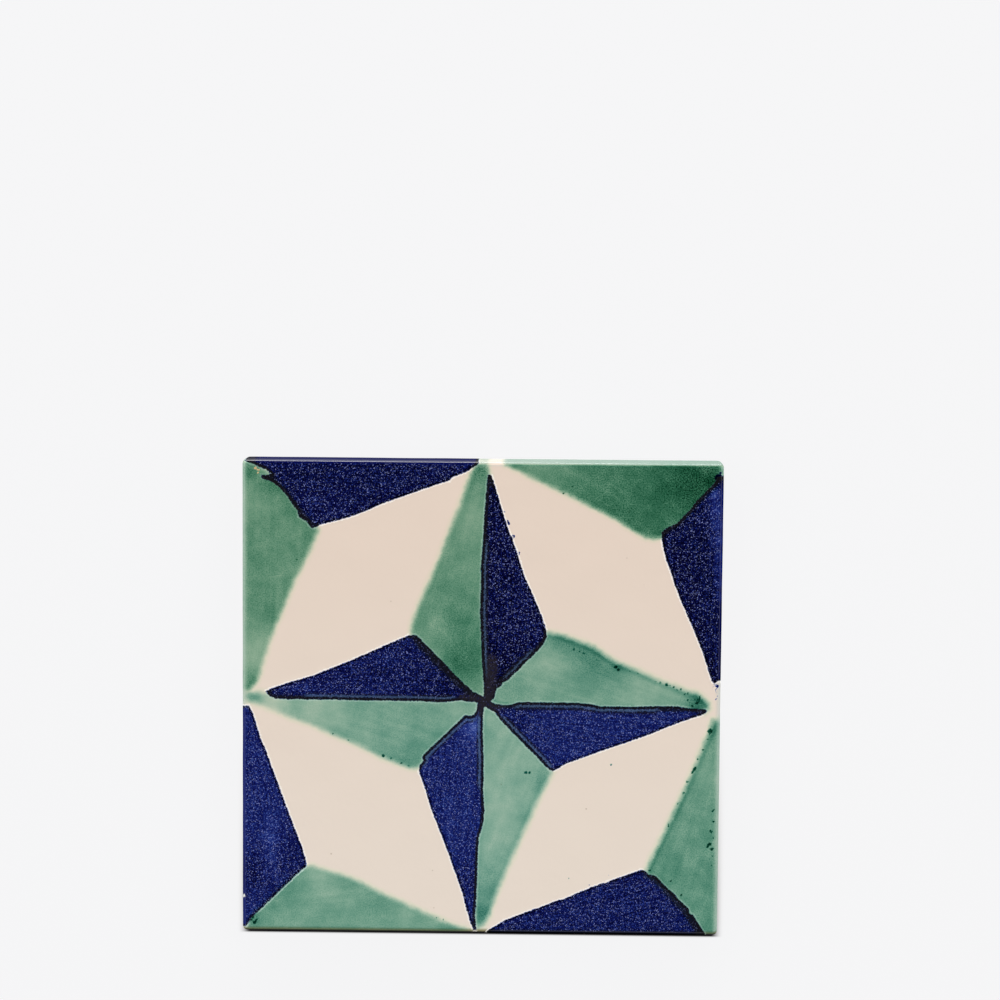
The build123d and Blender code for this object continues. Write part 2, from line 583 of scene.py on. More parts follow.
# How far apart in mm the left and the right side read those waves, on each side of 0
SIDE_SHIFT = 200.0


@dataclass(frozen=True)
class Sheet:
    """The star as it lies on a set of places, one value to a place: depths in mm, loads and brush runs."""

    blue_depth: np.ndarray
    green_depth: np.ndarray
    blue_load: np.ndarray
    green_load: np.ndarray
    brush: np.ndarray
    seam: np.ndarray
    gap: np.ndarray
    warmth: np.ndarray
    rim: np.ndarray
    crossing: np.ndarray
    blue_drops: np.ndarray
    green_dots: np.ndarray


@dataclass(frozen=True)
class StarPattern:
    """The painted star: eight blue fields and eight green ones around four bare lozenges.

    The hand that laid it moved, stretched and skewed it a little: the slip gives what is added to x and
    to y, in mm, for 1, x, y and x times y.
    """

    strokes: tuple[Stroke, ...] = STAR
    slip_x: tuple[float, ...] = (0.06, -0.0066, 0.00296, 0.000073)
    slip_y: tuple[float, ...] = (-0.20, 0.00196, 0.00014, -0.000025)
    far: float = -30.0

    def _slipped(self, points: np.ndarray) -> np.ndarray:
        """Takes places on the face back to where the pattern's outlines have them.

        Args:
            points: Places in mm, one to a row.

        Returns:
            The same places on the outlines' own square.
        """
        x, y = points[:, 0], points[:, 1]
        terms = np.stack([np.ones(len(points)), x, y, x * y])
        return points - np.stack([np.array(self.slip_x) @ terms, np.array(self.slip_y) @ terms], axis=1)

    def lay(self, points: np.ndarray) -> Sheet:
        """Works the pattern out at places on the face.

        Args:
            points: Places in mm, one to a row.

        Returns:
            The pattern's depths, loads and brush runs at those places.
        """
        points = self._slipped(points)
        depth = {pigment: np.full(len(points), self.far) for pigment in Pigment}
        load = {pigment: np.zeros(len(points)) for pigment in Pigment}
        brush = np.zeros((len(points), 3))
        hand = {name: np.zeros(len(points)) for name in ("seam", "gap", "warmth", "rim")}
        deepest = np.full(len(points), self.far)
        for number, stroke in enumerate(self.strokes):
            here = stroke.depth(points)
            leads = here > depth[stroke.pigment]
            load[stroke.pigment][leads] = stroke.wash(points)[leads]
            depth[stroke.pigment][leads] = here[leads]
            if stroke.pigment is Pigment.COBALT:
                hand["seam"][leads] = stroke.seam
                hand["gap"][leads] = stroke.opened(points)[leads]
            else:
                hand["warmth"][leads] = stroke.warmth
                hand["rim"][leads] = stroke.rim
            top = here > deepest
            brush[top, :2] = stroke.brushed(points)[top]
            brush[top, 2] = number
            deepest[top] = here[top]
        return Sheet(
            blue_depth=depth[Pigment.COBALT],
            green_depth=depth[Pigment.COPPER],
            blue_load=load[Pigment.COBALT],
            green_load=load[Pigment.COPPER],
            brush=brush,
            **hand,
            crossing=outline_depth(points, CROSSING),
            blue_drops=self._drops(points, BLUE_DROPS),
            green_dots=self._drops(points, GREEN_DOTS),
        )

    def _drops(self, points: np.ndarray, drops: tuple[Drop, ...]) -> np.ndarray:
        """How far points lie inside the nearest of some round spots, in mm, below 0 outside them."""
        gaps = [drop.radius - np.hypot(points[:, 0] - drop.x, points[:, 1] - drop.y) for drop in drops]
        return np.maximum(np.max(gaps, axis=0), self.far)


class Value:
    """A number that changes over the surface: a node socket that takes part in Python expressions."""

    def __init__(self, bench: "Bench", socket: bpy.types.NodeSocket) -> None:
        """Wraps a node's output socket."""
        self.bench = bench
        self.socket = socket

    def _math(self, operation: str, *values: Any) -> "Value":
        """Adds one Math node and gives its result."""
        return self.bench.node("ShaderNodeMath", {"operation": operation}, dict(enumerate(values)))

    def __add__(self, other: Any) -> "Value":
        """Adds."""
        return self._math("ADD", self, other)

    __radd__ = __add__

    def __sub__(self, other: Any) -> "Value":
        """Takes other away."""
        return self._math("SUBTRACT", self, other)

    def __rsub__(self, other: Any) -> "Value":
        """Takes this away from other."""
        return self._math("SUBTRACT", other, self)

    def __mul__(self, other: Any) -> "Value":
        """Multiplies."""
        return self._math("MULTIPLY", self, other)

    __rmul__ = __mul__

    def fades(self) -> "Value":
        """The share of light that passes a layer of this density."""
        return self._math("EXPONENT", self * -1.0)

    def or_more(self, other: Any) -> "Value":
        """The larger of the two."""
        return self._math("MAXIMUM", self, other)

    def or_less(self, other: Any) -> "Value":
        """The smaller of the two."""
        return self._math("MINIMUM", self, other)

    def rises(self, low: float, high: float) -> "Value":
        """A soft step from 0 at low to 1 at high.

        Args:
            low: Where the step starts.
            high: Where it ends.

        Returns:
            The step, 0 to 1.
        """
        settings = {"interpolation_type": "SMOOTHSTEP"}
        inputs = {"Value": self, "From Min": low, "From Max": high}
        return self.bench.node("ShaderNodeMapRange", settings, inputs)

    def falls(self, low: float, high: float) -> "Value":
        """A soft step from 1 at low to 0 at high."""
        return 1.0 - self.rises(low, high)


class Bench:
    """A material or world under work: it adds nodes and joins them."""

    def __init__(self, owner: bpy.types.Material | bpy.types.World) -> None:
        """Opens the owner's nodes.

        Args:
            owner: The material or world.
        """
        owner.use_nodes = True
        self.owner = owner
        self.tree = owner.node_tree

    def join(self, value: Any, socket: bpy.types.NodeSocket) -> None:
        """Links a value to a socket, or sets it there.

        Args:
            value: A Value, a socket or plain numbers.
            socket: The input to feed.
        """
        source = value.socket if isinstance(value, Value) else value
        if isinstance(source, bpy.types.NodeSocket):
            self.tree.links.new(source, socket)
        elif isinstance(source, tuple) and socket.type == "RGBA":
            socket.default_value = (*source, 1.0)
        else:
            socket.default_value = source

    def node(self, kind: str, settings: dict[str, Any], inputs: dict[Any, Any], output: Any = 0) -> Value:
        """Adds any node.

        Args:
            kind: The node's type.
            settings: Its settings, which are set first.
            inputs: Values or links by socket name or number.
            output: The output's name or number.

        Returns:
            That output as a value.
        """
        made = self.tree.nodes.new(kind)
        for name, setting in settings.items():
            setattr(made, name, setting)
        for name, value in inputs.items():
            self.join(value, made.inputs[name])
        return Value(self, made.outputs[output])

    def attribute(self, name: str, output: str = "Fac") -> Value:
        """Reads one of the mesh's own attributes."""
        return self.node("ShaderNodeAttribute", {"attribute_name": name}, {}, output)

    def stretch(self, vector: Any, scale: tuple[float, float, float]) -> Value:
        """Scales a vector along each axis."""
        return self.node("ShaderNodeVectorMath", {"operation": "MULTIPLY"}, {0: vector, 1: scale})

    def noise(self, vector: Any, scale: float, detail: float = 2.0, roughness: float = 0.5) -> Value:
        """A cloudy field around one half, with so many clouds to a mm and so many finer layers."""
        inputs = {"Vector": vector, "Scale": scale, "Detail": detail, "Roughness": roughness}
        return self.node("ShaderNodeTexNoise", {}, inputs)

    def grains(self, vector: Any, scale: float, output: str = "Distance") -> Value:
        """Scattered cells: the distance to each one's middle, or its own random colour."""
        return self.node("ShaderNodeTexVoronoi", {}, {"Vector": vector, "Scale": scale}, output)

    def blend(self, base: Any, over: Any, share: Any) -> Value:
        """Mixes two colours, by how much of the second shows."""
        inputs = {MIX_SHARE: share, MIX_BASE: base, MIX_OVER: over}
        return self.node("ShaderNodeMix", {"data_type": "RGBA"}, inputs, MIX_RESULT)

    def tint(self, base: Any, filter_colour: Any) -> Value:
        """Lays a clear coloured layer over a colour.

        Args:
            base: The colour below.
            filter_colour: The light that the layer lets pass.

        Returns:
            The colour that is left.
        """
        settings = {"data_type": "RGBA", "blend_type": "MULTIPLY"}
        inputs = {MIX_SHARE: 1.0, MIX_BASE: base, MIX_OVER: filter_colour}
        return self.node("ShaderNodeMix", settings, inputs, MIX_RESULT)

    def colour(self, red: Value, green: Value, blue: Value) -> Value:
        """Joins three channels to a colour."""
        return self.node("ShaderNodeCombineColor", {}, {"Red": red, "Green": green, "Blue": blue})


@dataclass(frozen=True)
class Absorption:
    """How strongly a pigment drinks red, green and blue light for each unit of load."""

    red: float
    green: float
    blue: float


@dataclass(frozen=True)
class Reading:
    """What the finish reads at each place of the surface.

    Along, across and down give the place in mm, and edge how far out from the middle of the face it
    lies. Waver and ragged are the slow and the quick wander of the painter's hand, around 0. The blue
    and the green edge are depths inside the painted fields in mm, and painted, 0 to 1, says where the
    blue lies.
    """

    mm: Value
    along: Value
    across: Value
    down: Value
    edge: Value
    waver: Value
    ragged: Value
    blue_edge: Value
    green_edge: Value
    painted: Value


@dataclass(frozen=True)
class GlazedClay:
    """The tile's finish: a cream tin glaze, cobalt and copper on it, and bare clay where it ends.

    A span is where something starts and where it is full, in mm: on the face from its middle, along a
    painted edge from the edge itself, and on the sides down from the face.
    """

    # The cream is lighter towards the bottom of the face, in part painted light that evens out the lamps'
    # fall-off
    ground_above: Colour = linear(226, 208, 193)
    ground_below: Colour = linear(230, 217, 204)
    ground_thin: Colour = linear(198, 198, 190)
    # Painted shade: the darker grey-green of the top side
    painted_top_shade: Colour = linear(148, 156, 150)
    # Olive of the front arris: clay through thin glaze, and in part painted shade
    front_clay_and_shade: Colour = linear(150, 140, 102)
    # Painted shadow: near black on the outer edge of the front arris, where the tile meets the floor
    painted_foot_shadow: Colour = linear(20, 18, 14)
    clay: Colour = linear(206, 190, 166)
    clay_dark: Colour = linear(160, 136, 108)
    nick: Colour = linear(196, 170, 126)
    nick_side: Colour = linear(226, 226, 222)
    overlap: Colour = linear(20, 20, 24)
    parting: Colour = linear(74, 98, 128)
    # Painted highlights: the light specks over the blue
    painted_glint: Colour = linear(166, 178, 244)
    crossing: Colour = linear(38, 35, 42)
    speck: Colour = linear(178, 158, 138)
    # Painted highlight: a pale line just outside the blue, on the cream and on thin green
    highlight_line: Colour = linear(244, 239, 232)
    fringe_on_green: Colour = linear(196, 222, 212)

    cobalt_thin: Absorption = Absorption(1.0, 0.62, 0.07)
    cobalt_more: Absorption = Absorption(0.0, 0.042, 0.052)
    copper_cool: Absorption = Absorption(1.0, 0.475, 0.495)
    copper_warm: Absorption = Absorption(1.0, 0.505, 0.62)
    halo: Absorption = Absorption(0.10, 0.004, 0.09)

    # The hand's wander, in mm for the slow and the quick part
    blue_wander: Span = (0.5, 0.7)
    green_wander: Span = (0.9, 0.3)
    glaze_wander: Span = (0.8, 0.2)

    # The edges of the paint
    blue_start: Span = (-0.12, 0.10)
    green_start: Span = (-1.1, 1.3)
    halo_start: Span = (-2.0, -0.5)
    drop_start: Span = (-0.08, 0.12)
    dot_start: Span = (-0.16, 0.14)
    drop_load: float = 5.5
    dot_load: float = 4.6

    # How the blue's load varies: by its grain, its brush streaks and its mottle, and less at the rim
    blue_mean: float = 1.17
    blue_grain: float = 0.65
    blue_streak: float = 0.4
    blue_mottle: float = 0.25
    blue_smooth: float = 0.88
    line_start: Span = (0.0, 0.15)
    line_end: Span = (0.3, 0.75)

    # How the green's load varies: by its clouds, its brush streaks, its grain and its gathered rim
    green_mean: float = 0.97
    green_cloud: float = 0.95
    green_streak: float = 0.4
    green_grain: float = 0.95
    green_grain_most: float = 0.07
    green_gathered: float = 0.6
    gathered_start: Span = (0.3, 0.9)
    gathered_end: Span = (1.0, 2.2)

    # The seams, in mm into the green and then into the blue: a dark line, a paler gap, a second line
    over_green: Span = (-0.1, 0.35)
    near_green: Span = (-1.5, -0.7)
    first_line_end: Span = (0.6, 1.0)
    gap_start: Span = (0.7, 0.95)
    gap_end: Span = (1.2, 1.6)
    second_line_start: Span = (1.35, 1.6)
    second_line_end: Span = (1.9, 2.6)
    crossing_start: Span = (-0.5, 0.9)

    # The painted highlight line outside the blue, on the cream and on a green that is thin enough
    highlight_start: Span = (-0.6, -0.35)
    highlight_end: Span = (-0.24, -0.08)
    highlight_cream: Span = (-1.2, -0.4)
    highlight_green: Span = (-0.6, 0.4)
    highlight_load: Span = (1.5, 2.6)

    # Where the glaze runs thin or takes another tone round the arris, and where shade is painted on it
    thin_rim: Span = (68.2, 69.8)
    thin_end: Span = (69.0, 69.2)
    top_side: Span = (69.2, 69.6)
    front_arris: Span = (-69.4, -68.5)
    painted_foot_band: Span = (-69.75, -69.35)
    worn_sides: Span = (68.0, 69.8)
    worn_top: Span = (69.1, 69.5)
    worn_front: Span = (-69.5, -68.8)
    worn_sides_share: float = 0.72
    worn_top_share: float = 0.88
    worn_front_share: float = 0.5
    smooth_rim: Span = (68.9, 69.3)
    glint_end: Span = (69.0, 69.4)
    matt_turn: Span = (69.0, 69.6)
    matt_turn_below: Span = (68.6, 69.4)
    crest_start: Span = (68.9, 69.1)
    crest_end: Span = (69.5, 69.75)
    side_nick_left: Span = (-69.3, -68.9)
    side_nick_above: Span = (-66.0, -64.0)

    # Cells to a mm: the grain of the blue, its painted glints and the pinpricks of the cream
    grain_scale: float = 4.8
    glint_scale: float = 4.4
    pinprick_scale: float = 0.16

    # Which of those cells show and how much, the pinpricks' size in cells, and the clay's mottle
    glint_pick: Span = (0.885, 1.0)
    glint_share: float = 0.44
    pinprick_pick: Span = (0.45, 0.9)
    pinprick_size: Span = (0.02, 0.055)
    pinprick_share: float = 0.7
    clay_mottle: Span = (0.42, 0.66)

    blue_least: float = 1.2
    blue_most: float = 8.6
    blue_line: float = 3.0
    gloss_roughness: float = 0.12
    clay_roughness: float = 0.9
    glaze_ior: float = 1.65
    relief: float = 0.05 * MM
    side_start: Span = (0.7, 1.5)

    def make(self) -> bpy.types.Material:
        """Builds the material.

        Returns:
            The finish, which reads the mesh's own attributes and Object coordinates.
        """
        bench = Bench(bpy.data.materials.new(GLAZE_SLOT))
        at = self._read(bench)
        coloured = bench.tint(self._ground(bench, at), self._filter(bench, at))
        coloured = self._painted_glints(bench, at, coloured)
        coloured = self._seamed(bench, at, coloured)
        coloured = self._painted_highlight_line(bench, at, coloured)

        slow, quick = self.glaze_wander
        glazed = (bench.attribute("glaze") + at.waver * slow + at.ragged * quick).rises(-0.05, 0.05)
        chipped = (bench.attribute("chips") + at.ragged * 0.8).rises(-0.1, 0.1)
        surface = bench.blend(coloured, self._bare_clay(bench, at), 1.0 - glazed)
        surface = bench.blend(surface, self._nick(bench, at), chipped)
        self._shade(bench, at, surface, (1.0 - glazed).or_more(chipped))
        return bench.owner

    def _read(self, bench: Bench) -> Reading:
        """Reads the place, the pattern and the hand's wander off the mesh.

        Args:
            bench: The material under work.

        Returns:
            What the layers of the finish work with.
        """
        place = bench.node("ShaderNodeTexCoord", {}, {}, "Object")
        mm = bench.stretch(place, (1 / MM, 1 / MM, 1 / MM))
        along = bench.node("ShaderNodeSeparateXYZ", {}, {"Vector": mm}, "X")
        across = bench.node("ShaderNodeSeparateXYZ", {}, {"Vector": mm}, "Y")
        height = bench.node("ShaderNodeSeparateXYZ", {}, {"Vector": mm}, "Z")
        waver = bench.noise(mm, 0.5, 2.0, 0.5) - 0.5
        ragged = bench.noise(mm, 1.7, 2.0, 0.6) - 0.5
        blue_slow, blue_quick = self.blue_wander
        green_slow, green_quick = self.green_wander
        blue_edge = bench.attribute("blue_depth") + waver * blue_slow + ragged * blue_quick
        green_edge = bench.attribute("green_depth") + waver * green_slow + ragged * green_quick
        return Reading(
            mm=mm,
            along=along,
            across=across,
            down=FACE_TOP - height,
            edge=bench.attribute("edge"),
            waver=waver,
            ragged=ragged,
            blue_edge=blue_edge,
            green_edge=green_edge,
            painted=blue_edge.rises(*self.blue_start),
        )

    def _ground(self, bench: Bench, at: Reading) -> Value:
        """Colours the cream glaze: its slow change up the face, its thin rim, painted shade and its
        pinpricks.

        Args:
            bench: The material under work.
            at: What is read at each place.

        Returns:
            The glaze's colour without paint.
        """
        # Lighter towards the bottom, in part painted light that evens out the lamps' fall-off
        ground = bench.blend(self.ground_below, self.ground_above, at.across.rises(-70.0, 70.0))
        thin = at.edge.rises(*self.thin_rim) * at.across.falls(*self.thin_end)
        ground = bench.blend(ground, self.ground_thin, thin)
        # Painted shade: the top side turns darker grey-green, fully where green lies and less on the cream
        top = at.across.rises(*self.top_side) * (0.45 + at.green_edge.rises(-1.5, 0.0) * 0.55)
        ground = bench.blend(ground, self.painted_top_shade, top)
        # The front arris turns olive: clay through thin glaze, and in part painted shade
        ground = bench.blend(ground, self.front_clay_and_shade, at.across.falls(*self.front_arris))
        # Painted shadow: the outer edge of the front arris goes near black
        ground = bench.blend(ground, self.painted_foot_shadow, at.across.falls(*self.painted_foot_band))
        return bench.blend(ground, self.speck, self._pinpricks(bench, at))

    def _pinpricks(self, bench: Bench, at: Reading) -> Value:
        """Scatters the faint dark pinpricks of the cream glaze.

        Args:
            bench: The material under work.
            at: What is read at each place.

        Returns:
            How much of a pinprick shows, 0 to 1.
        """
        cells = bench.grains(at.mm, self.pinprick_scale, "Color")
        pick = bench.node("ShaderNodeSeparateColor", {}, {"Color": cells}, "Red")
        near = bench.grains(at.mm, self.pinprick_scale).falls(*self.pinprick_size)
        return near * pick.rises(*self.pinprick_pick) * self.pinprick_share

    def _blue(self, bench: Bench, at: Reading) -> Value:
        """Lays the cobalt: its grain, its brush streaks, the darker lines along its edges and its drops.

        Args:
            bench: The material under work.
            at: What is read at each place.

        Returns:
            The load of cobalt.
        """
        brush = bench.attribute("brush", "Vector")
        streak = bench.noise(bench.stretch(brush, (0.05, 1.9, 0.73)), 1.0, 1.0, 0.5) - 0.5
        cells = bench.grains(at.mm, self.grain_scale, "Color")
        grain = bench.node("ShaderNodeSeparateColor", {}, {"Color": cells}, "Red")
        mottle = bench.noise(at.mm, 1.6, 2.0, 0.6) - 0.5
        laid = bench.attribute("blue_load")
        grained = self.blue_mean - grain * grain * grain * self.blue_grain
        load = laid * (grained + streak * self.blue_streak - mottle * self.blue_mottle)
        smooth = at.edge.rises(*self.smooth_rim)
        load = load * (1.0 - smooth) + laid * self.blue_smooth * smooth
        line = at.blue_edge.rises(*self.line_start) * at.blue_edge.falls(*self.line_end)
        blue = (load.or_more(self.blue_least).or_less(self.blue_most) + line * self.blue_line) * at.painted
        drops = (bench.attribute("blue_drops") + at.ragged * 0.5).rises(*self.drop_start)
        return blue.or_more(drops * self.drop_load)

    def _green(self, bench: Bench, at: Reading) -> Value:
        """Lays the copper wash: its clouds, its fine grain, its soft edge, its worn rim and its dots.

        Args:
            bench: The material under work.
            at: What is read at each place.

        Returns:
            The load of copper.
        """
        cloud = bench.noise(at.mm, 0.16, 3.0, 0.6) - 0.5
        grain = bench.noise(at.mm, 2.6, 2.0, 0.7) - 0.5
        brush = bench.attribute("brush", "Vector")
        streak = bench.noise(bench.stretch(brush, (0.04, 0.5, 0.73)), 1.0, 2.0, 0.5) - 0.5
        load = bench.attribute("green_load")
        gathered = at.green_edge.rises(*self.gathered_start) * at.green_edge.falls(*self.gathered_end)
        gathered = gathered * bench.attribute("rim")
        uneven = cloud * self.green_cloud + streak * self.green_streak + gathered * self.green_gathered
        uneven = uneven - grain.or_less(self.green_grain_most) * load * self.green_grain
        load = load * (self.green_mean + uneven)
        worn = at.along.or_more(at.along * -1.0).rises(*self.worn_sides) * self.worn_sides_share
        worn = worn.or_more(at.across.rises(*self.worn_top) * self.worn_top_share)
        worn = worn.or_more(at.across.falls(*self.worn_front) * self.worn_front_share)
        wash = load.or_more(0.0) * at.green_edge.rises(*self.green_start) * (1.0 - worn)
        dots = (bench.attribute("green_dots") + at.ragged * 0.6).rises(*self.dot_start)
        return wash + dots * self.dot_load

    def _filter(self, bench: Bench, at: Reading) -> Value:
        """Works out the light that the pigments let pass.

        Args:
            bench: The material under work.
            at: What is read at each place.

        Returns:
            The colour of the light that is left.
        """
        blue = self._blue(bench, at)
        green = self._green(bench, at)
        halo = at.green_edge.rises(*self.halo_start) * (1.0 - at.painted)
        warmth = bench.attribute("warmth")

        def left(name: str) -> Value:
            """Works out how much of one channel passes.

            Args:
                name: The channel.

            Returns:
                Its share, 0 to 1.
            """
            cool = getattr(self.copper_cool, name)
            copper = cool + warmth * (getattr(self.copper_warm, name) - cool)
            cobalt = getattr(self.cobalt_thin, name) + blue * getattr(self.cobalt_more, name)
            return (blue * cobalt + green * copper + halo * getattr(self.halo, name)).fades()

        return bench.colour(left("red"), left("green"), left("blue"))

    def _painted_glints(self, bench: Bench, at: Reading, base: Value) -> Value:
        """Scatters painted glints over the blue: light specks that stand in for highlights.

        Args:
            bench: The material under work.
            at: What is read at each place.
            base: The painted glaze.

        Returns:
            The same with its painted glints.
        """
        cells = bench.grains(at.mm, self.glint_scale, "Color")
        glint_chance = bench.node("ShaderNodeSeparateColor", {}, {"Color": cells}, "Green")
        glint_spots = glint_chance.rises(*self.glint_pick) * at.painted * at.edge.falls(*self.glint_end)
        return bench.blend(base, self.painted_glint, glint_spots * self.glint_share)

    def _seamed(self, bench: Bench, at: Reading, base: Value) -> Value:
        """Draws the seams where blue lies on green, the paler paint in them and the arms' crossing.

        Args:
            bench: The material under work.
            at: What is read at each place.
            base: The painted glaze.

        Returns:
            The same with its dark lines.
        """
        over = at.painted * (at.green_edge + at.ragged * 0.8).rises(*self.over_green)
        touch = at.painted * (at.green_edge + at.ragged * 0.6).rises(*self.near_green)
        frayed = at.blue_edge + at.ragged * 0.6
        opened = bench.attribute("gap")
        gap = touch * frayed.rises(*self.gap_start) * frayed.falls(*self.gap_end) * opened
        gap = gap * (0.85 + at.ragged * 2.2).or_less(1.0).or_more(0.0)
        first = touch * frayed.falls(*self.first_line_end)
        second = touch * frayed.rises(*self.second_line_start) * frayed.falls(*self.second_line_end) * opened
        seam = first.or_more(second * 0.95).or_more(over * 0.85) * bench.attribute("seam") * (1.0 - gap)
        seamed = bench.blend(base, self.parting, gap * 0.75)
        seamed = bench.blend(seamed, self.overlap, seam * (0.8 + at.ragged * 1.6).or_less(1.0))
        crossed = (bench.attribute("crossing") + at.ragged * 3.0).rises(*self.crossing_start) * at.painted
        return bench.blend(seamed, self.crossing, crossed * (0.78 + at.ragged * 2.4).or_less(0.95))

    def _painted_highlight_line(self, bench: Bench, at: Reading, base: Value) -> Value:
        """Paints a pale highlight line beside the blue, on the cream and on thin green.

        Args:
            bench: The material under work.
            at: What is read at each place.
            base: The painted glaze.

        Returns:
            The same with its painted highlight line.
        """
        rim = at.blue_edge.rises(*self.highlight_start) * at.blue_edge.falls(*self.highlight_end)
        rim = rim * (0.9 + at.ragged * 2.0)
        highlighted = bench.blend(base, self.highlight_line, rim * at.green_edge.falls(*self.highlight_cream) * 0.9)
        thin = bench.attribute("green_load").falls(*self.highlight_load)
        open_rim = rim * (0.8 - bench.attribute("seam") * 0.5)
        on_green = open_rim * thin * at.green_edge.rises(*self.highlight_green)
        return bench.blend(highlighted, self.fringe_on_green, on_green)

    def _bare_clay(self, bench: Bench, at: Reading) -> Value:
        """The mottled colour of the fired clay."""
        dark = bench.noise(at.mm, 0.9, 4.0, 0.7).rises(*self.clay_mottle)
        return bench.blend(self.clay, self.clay_dark, dark)

    def _nick(self, bench: Bench, at: Reading) -> Value:
        """The colour of a fresh chip, paler in the one on the left side."""
        on_side = at.along.falls(*self.side_nick_left) * at.across.rises(*self.side_nick_above)
        return bench.blend(self.nick, self.nick_side, on_side)

    def _shade(self, bench: Bench, at: Reading, surface: Value, bare: Value) -> None:
        """Mixes the glossy glaze with a matt finish on the clay, the sides and the turned arris.

        Args:
            bench: The material under work.
            at: What is read at each place.
            surface: The colour.
            bare: Where no glaze lies, 0 to 1.
        """
        ripple = bench.noise(at.mm, 0.5, 1.0, 0.5) * 0.5
        ripple = ripple + bench.noise(at.mm, 3.0, 3.0, 0.7) * (0.06 + bare * 0.9)
        height = ripple + at.painted * (0.4 + bench.noise(at.mm, 2.2, 2.0, 0.6) * 0.15)
        bump = {"Height": height, "Strength": 1.0, "Distance": self.relief}
        side = at.down.rises(*self.side_start)

        gloss = bench.tree.nodes["Principled BSDF"]
        bench.join(surface, gloss.inputs["Base Color"])
        bench.join(self.gloss_roughness + at.painted * 0.04 + side * 0.5, gloss.inputs["Roughness"])
        bench.join(self.glaze_ior, gloss.inputs["IOR"])
        bench.join(bench.node("ShaderNodeBump", {}, bump), gloss.inputs["Normal"])

        parts = {"Base Color": surface, "Roughness": self.clay_roughness, "Specular IOR Level": 0.0}
        parts["Normal"] = bench.node("ShaderNodeBump", {}, bump)
        matt = bench.node("ShaderNodeBsdfPrincipled", {}, parts)

        turned = at.edge.rises(*self.matt_turn) * at.across.falls(*self.matt_turn_below)
        crest = at.across.rises(*self.crest_start) * at.across.falls(*self.crest_end)
        dull = (side * (0.2 + at.painted * 0.6)).or_more(turned * (0.85 + at.painted * 0.15))
        dull = dull.or_more(crest).or_more(bare)
        mixed = bench.node("ShaderNodeMixShader", {}, {0: dull, 1: gloss.outputs[0], 2: matt})
        bench.join(mixed, bench.tree.nodes["Material Output"].inputs["Surface"])


